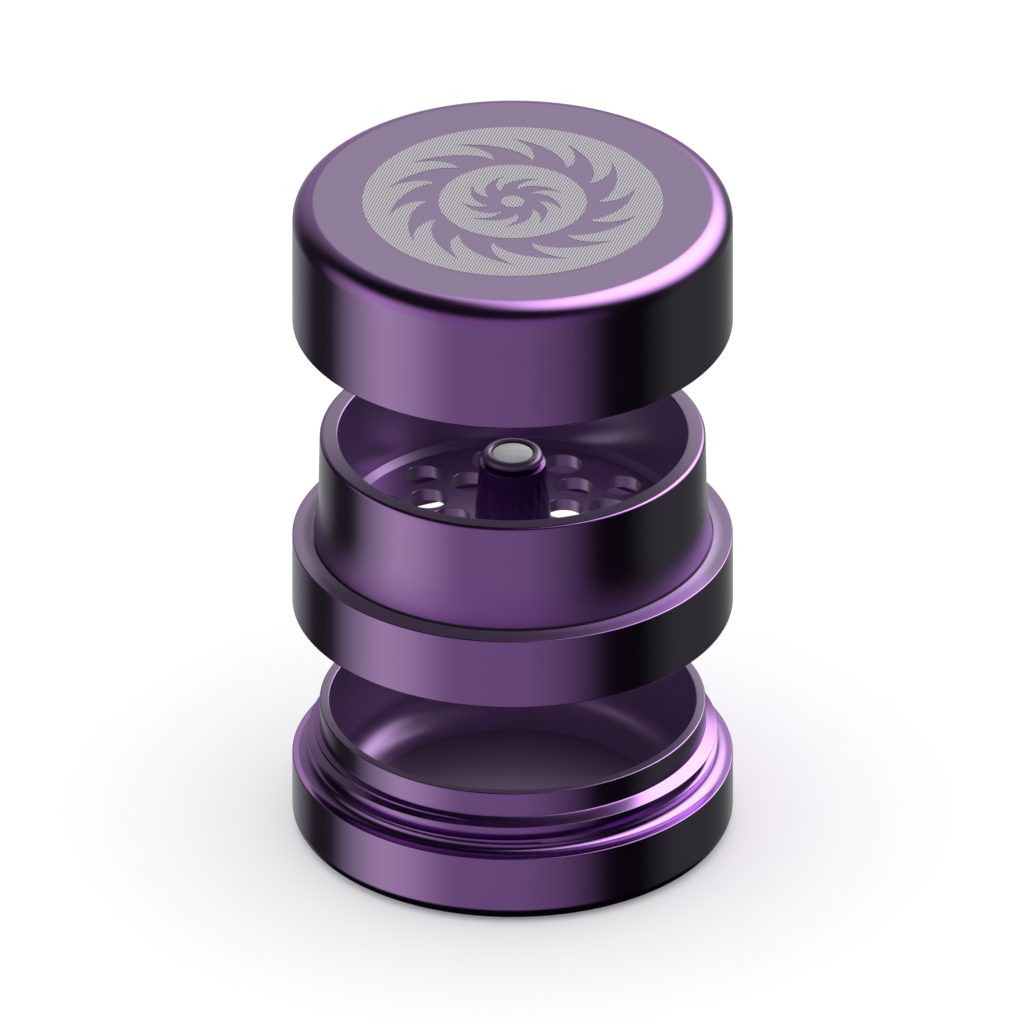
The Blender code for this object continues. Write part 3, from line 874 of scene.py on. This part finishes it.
ROOM_LIGHT = (1.08, 1.08, 1.08, 1.0)   # even light on matte surfaces

# The soft box: where it hangs, its edge and its full core as angles from its centre
BOX_AZIMUTH, BOX_HEIGHT = 135.0, 50.0
BOX_EDGE, BOX_CORE = 56.0, 17.0
BOX_FALLOFF = 1.5
BOX_STRENGTH = 3.4


def make_camera():
    """A parallel view from the front, looking down on the object."""
    low, high = CAD_BOX
    centre = (low + high) / 2
    data = bpy.data.cameras.new("camera")
    data.type = "ORTHO"
    data.ortho_scale = FRAME_WIDTH
    camera = bpy.data.objects.new("camera", data)
    bpy.context.scene.collection.objects.link(camera)
    slope = math.radians(VIEW_ELEVATION)
    back = Vector((0.0, -math.cos(slope), math.sin(slope)))
    camera.location = centre + AIM_SHIFT + back * CAMERA_AWAY
    camera.rotation_euler = (math.pi / 2 - slope, 0.0, 0.0)
    data.clip_start = 0.01
    data.clip_end = 20.0
    bpy.context.scene.camera = camera


def make_floor():
    """The surface that the jar stands on."""
    bm = bmesh.new()
    bmesh.ops.create_grid(bm, x_segments=4, y_segments=4, size=FLOOR_HALF)
    mesh = bpy.data.meshes.new("floor")
    bm.to_mesh(mesh)
    bm.free()
    floor = bpy.data.objects.new("floor", mesh)
    floor.location = (0.0, 0.0, CAD_BOX[0].z - FLOOR_DROP)
    bpy.context.scene.collection.objects.link(floor)
    mesh.materials.append(floor_finish())
    floor.visible_glossy = False


def side_light(tree, turn, height):
    """The walls' bands, tinted above the floor and fading out overhead and underfoot."""
    light = tree.ramp(turn, [((azimuth + 180.0) / 360.0, colour) for azimuth, colour in SIDE_BANDS])
    tint = tree.mix(tree.smooth(height, -28.0, -8.0), WHITE, LEVEL_TINT)
    light = tree.mix(1.0, light, tint, "MULTIPLY")
    light = tree.mix(tree.smooth(height, 4.0, 40.0), light, OVERHEAD)
    return tree.mix(tree.smooth(height, -44.0, -34.0), UNDERFOOT, light)


def box_light(tree, place, x, height):
    """A soft box high at the back right, cut off towards the left and the floor."""
    azimuth, above = math.radians(BOX_AZIMUTH), math.radians(BOX_HEIGHT)
    toward = tree.add("ShaderNodeVectorMath", operation="DOT_PRODUCT")
    tree.join(place, toward.inputs[0])
    toward.inputs[1].default_value = (math.cos(above) * math.sin(azimuth),
                                      -math.cos(above) * math.cos(azimuth), math.sin(above))
    reach = tree.add("ShaderNodeMapRange", clamp=True)
    tree.join(toward.outputs["Value"], reach.inputs["Value"])
    reach.inputs["From Min"].default_value = math.cos(math.radians(BOX_EDGE))
    reach.inputs["From Max"].default_value = math.cos(math.radians(BOX_CORE))
    box = tree.math("MULTIPLY", tree.math("POWER", reach.outputs[0], BOX_FALLOFF), BOX_STRENGTH)
    box = tree.math("MULTIPLY", box, tree.smooth(x, -0.22, 0.20))
    slant = tree.math("ADD", height, tree.math("MULTIPLY", x, 50.0))
    box = tree.math("MULTIPLY", box, tree.smooth(slant, 18.0, 42.0))
    glow = tree.add("ShaderNodeCombineXYZ")
    for socket in glow.inputs:
        tree.join(box, socket)
    return glow.outputs[0]


def veil_light(tree, x, y, height):
    """A faint pale veil behind the object."""
    behind = tree.math("MULTIPLY", tree.smooth(y, 0.2, 0.9), tree.smooth(height, 5.0, 25.0, 0.0, 0.25))
    behind = tree.math("MULTIPLY", behind, tree.smooth(x, -0.9, -0.2))
    return tree.mix(behind, BLACK, VEIL_TINT)


def studio_light(tree):
    """Radiance of the studio as seen in gloss, by direction."""
    place = tree.add("ShaderNodeTexCoord").outputs["Generated"]
    parts = tree.add("ShaderNodeSeparateXYZ")
    tree.join(place, parts.inputs[0])
    x, y, z = parts.outputs
    turn = tree.math("ARCTAN2", x, tree.math("MULTIPLY", y, -1.0))
    turn = tree.math("ADD", tree.math("DIVIDE", turn, 2 * math.pi), 0.5)
    height = tree.math("DEGREES", tree.math("ARCSINE", z))
    total = tree.mix(1.0, side_light(tree, turn, height), box_light(tree, place, x, height), "ADD")
    return tree.mix(1.0, total, veil_light(tree, x, y, height), "ADD")


def make_world():
    """Matte surfaces are lit evenly; only gloss sees the studio's bands and box."""
    world = bpy.data.worlds.new("studio")
    world.use_nodes = True
    bpy.context.scene.world = world
    tree = Tree(world.node_tree)
    world.cycles.sampling_method = "NONE"
    background = tree.nodes["Background"]
    even = tree.add("ShaderNodeLightPath").outputs["Is Diffuse Ray"]
    tree.join(tree.mix(even, studio_light(tree), ROOM_LIGHT), background.inputs["Color"])
    bpy.context.scene.view_settings.view_transform = "Standard"


make_camera()
make_floor()
make_world()
make_jar()
make_chamber()
make_post()
make_disc("post_magnet_body", "post_magnet", "chamber")
make_post_screw()
make_ring("glide_ring_body", "glide_ring", "glide", GROOVE_IN + 0.1, 0.05, GLIDE)
make_ring("seal_body", "chamber_seal", "seal", JAR_BORE_R - 0.6, 0.2, SILICONE)
make_lid()
make_rotor()
make_rotor_screws()
make_disc("rotor_magnet_body", "rotor_magnet", "lid")
make_ornament()
for made_piece in PIECES:
    settle_normals(made_piece)
